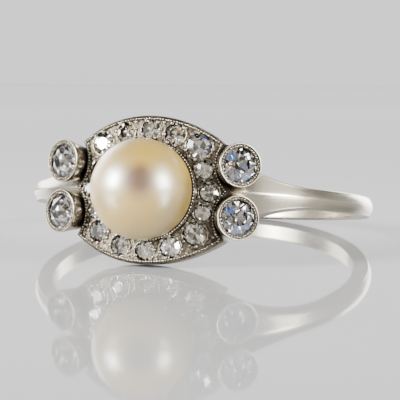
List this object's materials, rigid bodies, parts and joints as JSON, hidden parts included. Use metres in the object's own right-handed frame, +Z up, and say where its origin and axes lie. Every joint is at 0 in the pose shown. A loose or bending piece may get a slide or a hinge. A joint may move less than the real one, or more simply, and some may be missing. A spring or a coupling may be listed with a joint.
{
  "type": "pearl and diamond ring",
  "caption": "Finger ring with a round pearl in a beaded cup on a curved, rimmed head plate set with small diamonds, between leaning round collets on ridged shoulders.",
  "frame": {"origin": "on the surface that the ring rests on, under the middle of its box", "axes": "+X across the finger hole, +Y from the head toward the back of the shank, +Z up; the finger hole's axis leans 9.7 degrees from +Z toward +Y"},
  "size_m": [0.0194, 0.0231, 0.0074],
  "materials": {
    "white_metal": "polished",
    "pearl": "gloss",
    "diamond": "polished"
  },
  "bodies": {
    "root": {"ring_mount": "white_metal", "pearl": "pearl", "collet_diamond_upper_left": "diamond", "collet_diamond_upper_right": "diamond", "collet_diamond_lower_left": "diamond", "collet_diamond_lower_right": "diamond", "diamond_top": "diamond", "diamond_bottom": "diamond", "diamond_flank_upper_left": "diamond", "diamond_flank_upper_right": "diamond", "diamond_flank_lower_left": "diamond", "diamond_flank_lower_right": "diamond", "diamond_corner_upper_left": "diamond", "diamond_corner_upper_right": "diamond", "diamond_corner_lower_left": "diamond", "diamond_corner_lower_right": "diamond", "diamond_side_upper_left": "diamond", "diamond_side_upper_right": "diamond", "diamond_side_lower_left": "diamond", "diamond_side_lower_right": "diamond", "diamond_cusp_left": "diamond", "diamond_cusp_right": "diamond"}
  },
  "joints": []
}
